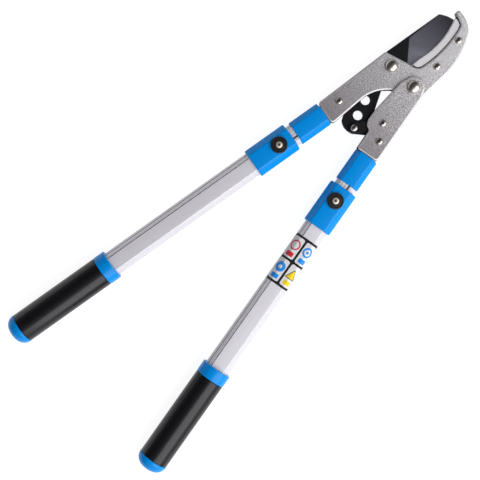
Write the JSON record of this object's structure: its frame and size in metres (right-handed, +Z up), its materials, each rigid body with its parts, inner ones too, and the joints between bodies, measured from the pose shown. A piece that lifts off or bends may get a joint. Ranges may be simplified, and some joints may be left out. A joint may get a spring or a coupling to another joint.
{
  "type": "telescopic anvil loppers",
  "caption": "Two-handed pruning loppers with an anvil jaw, a geared-up blade lever, telescopic tube handles with push-button locks and soft grips.",
  "frame": {"origin": "under the middle of the whole closed tool lying flat, on the plane that the grips rest on", "axes": "+X from the grips towards the jaws, along the line midway between the handles; +Y towards the anvil-arm handle; +Z up, out of the plates' front faces"},
  "size_m": [0.6808, 0.2712, 0.0351],
  "materials": {
    "plate_steel": "sand-blasted, speckled grey, satin, with rounded stamped edges",
    "blade_coating": "black low-friction coating, with a wide ground satin bevel",
    "anvil_metal": "matt light grey",
    "chrome": "polished",
    "cast_metal": "die cast, matt",
    "bronze": "turned",
    "blue_plastic": "moulded, semi-gloss",
    "tube_aluminium": "extruded, silver anodised, fine lengthwise lines",
    "black_plastic": "moulded, satin",
    "grip_rubber": "soft-touch foam sleeve, fine grain",
    "spring_steel": "drawn wire",
    "label_film": null
  },
  "bodies": {
    "anvil_arm": {"jaw_plate_front": "plate_steel", "jaw_plate_rear": "plate_steel", "anvil": "anvil_metal", "anvil_screw_heel": "chrome", "anvil_screw_tip": "chrome", "anvil_nut_heel": "chrome", "anvil_nut_tip": "chrome", "blade_pivot_bolt": "chrome", "blade_pivot_nut": "chrome", "main_pivot_bolt": "chrome", "main_pivot_nut": "chrome", "pivot_spacer": "bronze", "tang_a": "cast_metal", "tang_screw_a": "chrome", "tang_nut_a": "chrome", "inner_tube_a": "tube_aluminium", "upper_collar_a": "blue_plastic", "slide_bush_a": "black_plastic"},
    "blade": {"blade": "blade_coating", "blade_bush": "bronze", "lever_screw": "chrome", "lever_nut": "chrome"},
    "link": {"link_plate_front": "blade_coating", "link_plate_rear": "blade_coating"},
    "arm_b": {"arm_plate_front": "plate_steel", "arm_plate_rear": "plate_steel", "link_screw": "chrome", "link_nut": "chrome", "tang_b": "cast_metal", "tang_screw_b": "chrome", "tang_nut_b": "chrome", "inner_tube_b": "tube_aluminium", "upper_collar_b": "blue_plastic", "slide_bush_b": "black_plastic"},
    "grip_a": {"outer_tube_a": "tube_aluminium", "lower_collar_a": "blue_plastic", "grip_ring_a": "blue_plastic", "grip_a": "grip_rubber", "end_cap_a": "blue_plastic", "button_spring_a": "spring_steel"},
    "button_a": {"button_a": "black_plastic", "button_screw_a": "chrome", "lock_pin_a": "chrome"},
    "grip_b": {"outer_tube_b": "tube_aluminium", "lower_collar_b": "blue_plastic", "grip_ring_b": "blue_plastic", "grip_b": "grip_rubber", "end_cap_b": "blue_plastic", "button_spring_b": "spring_steel", "label_b": "label_film"},
    "button_b": {"button_b": "black_plastic", "button_screw_b": "chrome", "lock_pin_b": "chrome"}
  },
  "joints": [
    {"name": "handle_b_swing", "type": "hinge", "parent": "anvil_arm", "child": "arm_b", "pos_m": [0.2316, -0.01856, 0.0174], "axis": [0, 0, 1], "range_deg": [0, 45]},
    {"name": "blade_swing", "type": "hinge", "parent": "anvil_arm", "child": "blade", "pos_m": [0.2316, 0.01944, 0.0174], "axis": [0, 0, 1], "range_deg": [0, 28.6]},
    {"name": "link_swing", "type": "hinge", "parent": "blade", "child": "link", "pos_m": [0.144, -0.00196, 0.0174], "axis": [0, 0, 1], "range_deg": [-32.3, 0]},
    {"name": "extend_a", "type": "slide", "parent": "anvil_arm", "child": "grip_a", "axis": [-0.9856, 0.1693, 0], "range_m": [0, 0.3]},
    {"name": "extend_b", "type": "slide", "parent": "arm_b", "child": "grip_b", "axis": [-0.9856, -0.1693, 0], "range_m": [0, 0.3]},
    {"name": "press_button_a", "type": "slide", "parent": "grip_a", "child": "button_a", "axis": [0, 0, -1], "range_m": [0, 0.0025], "stiffness_N_per_m": 600, "deforming": ["button_spring_a"]},
    {"name": "press_button_b", "type": "slide", "parent": "grip_b", "child": "button_b", "axis": [0, 0, -1], "range_m": [0, 0.0025], "stiffness_N_per_m": 600, "deforming": ["button_spring_b"]}
  ],
  "couplings": [
    {"joint": "blade_swing", "follows": "handle_b_swing", "ratio": 0.635},
    {"joint": "link_swing", "follows": "handle_b_swing", "ratio": -0.7175}
  ]
}
